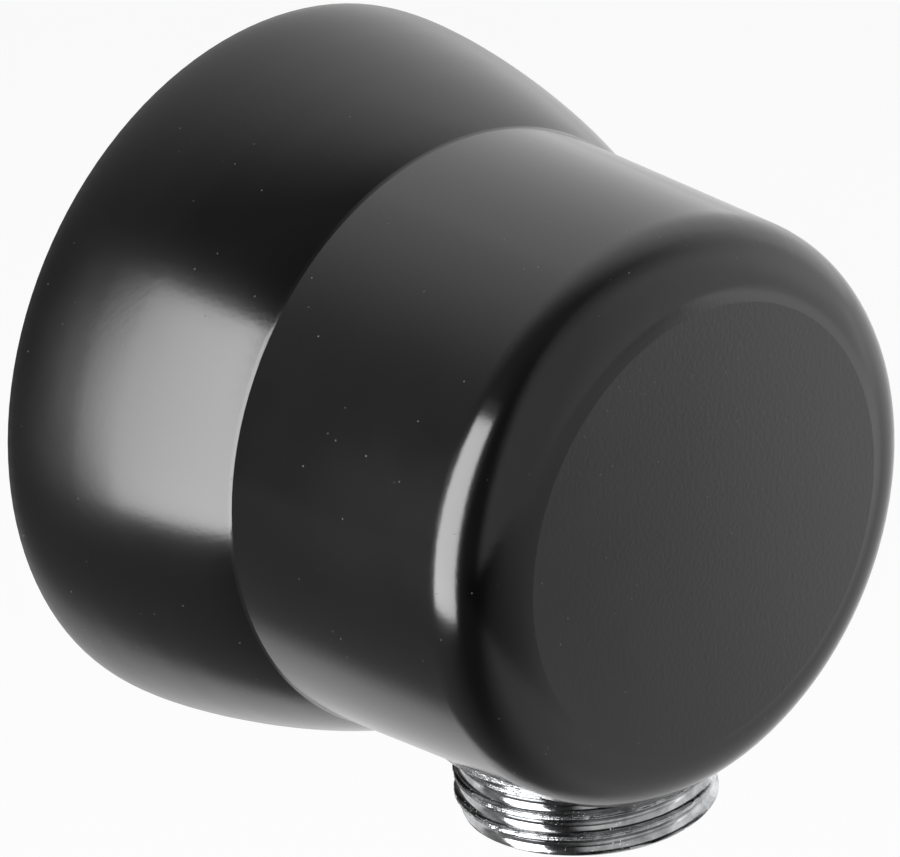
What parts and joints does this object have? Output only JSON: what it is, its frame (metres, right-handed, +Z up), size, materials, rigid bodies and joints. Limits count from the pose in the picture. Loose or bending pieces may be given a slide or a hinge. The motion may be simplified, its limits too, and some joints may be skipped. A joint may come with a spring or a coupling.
{
  "type": "shower hose wall outlet",
  "caption": "Round black wall outlet for a shower hose: flared rim on the wall, flat front, threaded chrome outlet pointing down, check valve inside.",
  "frame": {"origin": "where the inlet axis meets the wall", "axes": "+Z up; +Y into the wall along the inlet thread; the flat front faces -Y and the hose outlet points -Z"},
  "size_m": [0.0584, 0.0618, 0.0584],
  "materials": {
    "black_paint": "satin",
    "chrome": "polished",
    "brass": "machined",
    "rubber": "matte",
    "grey_plastic": "matte",
    "white_plastic": "matte",
    "steel": "plain"
  },
  "bodies": {
    "wall_side": {"wall_nipple": "brass", "rear_o_ring": "rubber", "front_o_ring": "rubber", "wall_washer": "rubber", "strainer_frame": "grey_plastic", "strainer_mesh": "steel"},
    "outlet_side": {"housing": "black_paint", "wall_gasket": "rubber", "elbow_body": "brass", "front_plug": "brass", "plug_o_ring": "rubber", "outlet_nipple": "chrome", "outlet_o_ring": "rubber", "collar_washer": "rubber", "valve_cage": "white_plastic", "cage_o_ring": "rubber", "valve_spring": "steel", "valve_guide": "white_plastic", "snap_ring": "steel", "retaining_plate": "steel", "screw_washers": "steel", "housing_screws": "steel"},
    "lock_screw": {"grub_screw": "steel"},
    "poppet": {"valve_poppet": "white_plastic", "poppet_seal": "rubber"}
  },
  "joints": [
    {"name": "outlet_pull_off", "type": "slide", "parent": "wall_side", "child": "outlet_side", "axis": [0, -1, 0], "range_m": [0, 0.03]},
    {"name": "lock_screw_back_out", "type": "slide", "parent": "outlet_side", "child": "lock_screw", "axis": [0, 0, -1], "range_m": [0, 0.003]},
    {"name": "check_valve_open", "type": "slide", "parent": "outlet_side", "child": "poppet", "axis": [0, 0, -1], "range_m": [0, 0.003], "stiffness_N_per_m": 60, "springref_m": -0.003, "deforming": ["valve_spring"]}
  ]
}
